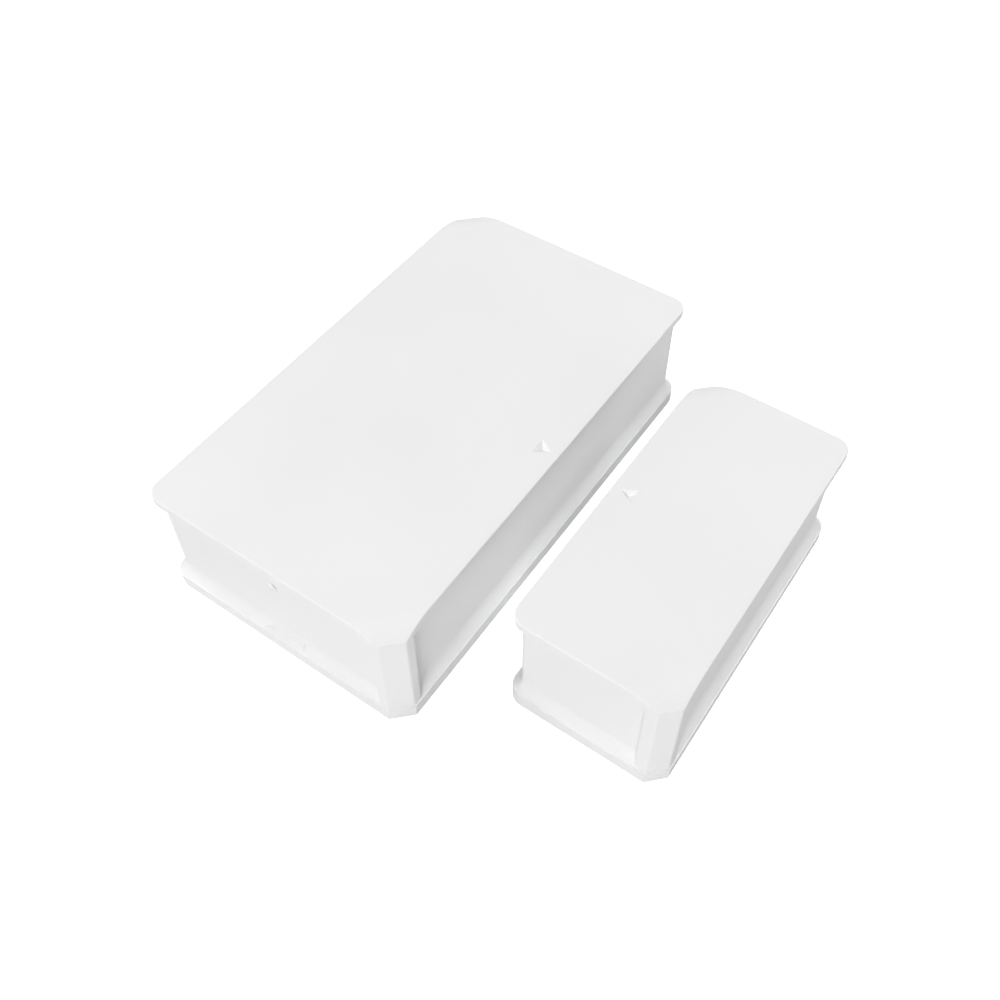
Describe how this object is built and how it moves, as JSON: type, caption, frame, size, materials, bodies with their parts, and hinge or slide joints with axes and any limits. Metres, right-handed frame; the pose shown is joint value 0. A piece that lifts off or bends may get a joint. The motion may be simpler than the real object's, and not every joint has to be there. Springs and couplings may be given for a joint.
{
  "type": "door contact sensor",
  "caption": "Stick-on door contact sensor: a battery sensor case beside a smaller magnet case, each a white clip-on shell with set-back side walls over a flat base plate.",
  "frame": {"origin": "centre of the sensor case's stuck-down face", "axes": "+Z out of the door frame, from the stuck-down faces to the top faces; +X from the sensor case to the magnet case; +Y along the long sides"},
  "size_m": [0.0479, 0.0472, 0.0133],
  "materials": {
    "shell_plastic": "fine satin moulded white plastic",
    "adhesive_pad": "white double-sided acrylic foam tape",
    "board_laminate": "green solder mask on glass-fibre laminate",
    "module_laminate": "dark blue solder mask",
    "reed_glass": "clear green-tinted glass",
    "contact_metal": "plated spring metal",
    "tinned_steel": "bright tinned steel",
    "chip_black": "black moulded epoxy",
    "chip_tan": "fired ceramic",
    "gold_plate": "gold-plated copper",
    "led_lens": "milky clear epoxy",
    "holder_plastic": "black glass-filled nylon",
    "plunger_plastic": "ivory nylon",
    "cell_steel": "nickel-plated steel",
    "gasket_plastic": "grey nylon",
    "magnet_nickel": "nickel plating",
    "foam": "dark closed-cell foam"
  },
  "bodies": {
    "sensor_base": {"sensor_base_plate": "shell_plastic", "sensor_adhesive_pad": "adhesive_pad"},
    "sensor_cover": {"sensor_top_shell": "shell_plastic", "circuit_board": "board_laminate", "reed_switch_glass": "reed_glass", "reed_blade_fixed": "contact_metal", "reed_switch_lead": "contact_metal", "radio_module_board": "module_laminate", "radio_shield_can": "tinned_steel", "radio_chip": "chip_black", "antenna": "gold_plate", "crystal": "tinned_steel", "chip_capacitors": "chip_tan", "chip_resistors": "chip_black", "status_led": "led_lens", "pairing_switch_body": "holder_plastic", "pairing_switch_cover": "tinned_steel", "pairing_switch_dome": "contact_metal", "battery_holder": "holder_plastic", "battery_positive_clip": "contact_metal", "battery_negative_contact": "contact_metal"},
    "coin_cell": {"coin_cell_can": "cell_steel", "coin_cell_cap": "cell_steel", "coin_cell_gasket": "gasket_plastic"},
    "pairing_plunger": {"pairing_switch_plunger": "plunger_plastic"},
    "reed_blade": {"reed_blade_moving": "contact_metal"},
    "magnet_base": {"magnet_base_plate": "shell_plastic", "magnet_adhesive_pad": "adhesive_pad"},
    "magnet_cover": {"magnet_top_shell": "shell_plastic", "bar_magnet": "magnet_nickel", "magnet_foam_pad": "foam"}
  },
  "joints": [
    {"name": "sensor_cover_lift", "type": "slide", "parent": "sensor_base", "child": "sensor_cover", "axis": [0, 0, 1], "range_m": [0, 0.03]},
    {"name": "coin_cell_drop", "type": "slide", "parent": "sensor_cover", "child": "coin_cell", "axis": [0, 0, -1], "range_m": [0, 0.0125]},
    {"name": "pairing_press", "type": "slide", "parent": "sensor_cover", "child": "pairing_plunger", "axis": [0, 1, 0], "range_m": [0, 0.00025], "stiffness_N_per_m": 5000},
    {"name": "reed_blade_open", "type": "hinge", "parent": "sensor_cover", "child": "reed_blade", "pos_m": [0.0096, 0.00485, 0.00925], "axis": [-1, 0, 0], "range_deg": [0, 1.05]},
    {"name": "door_opening", "type": "slide", "parent": "sensor_base", "child": "magnet_base", "axis": [1, 0, 0], "range_m": [0, 0.04]},
    {"name": "magnet_cover_lift", "type": "slide", "parent": "magnet_base", "child": "magnet_cover", "axis": [0, 0, 1], "range_m": [0, 0.025]}
  ],
  "couplings": [
    {"joint": "coin_cell_drop", "follows": "sensor_cover_lift", "ratio": 0.4},
    {"joint": "reed_blade_open", "follows": "door_opening", "rad_per_m": 0.436}
  ]
}
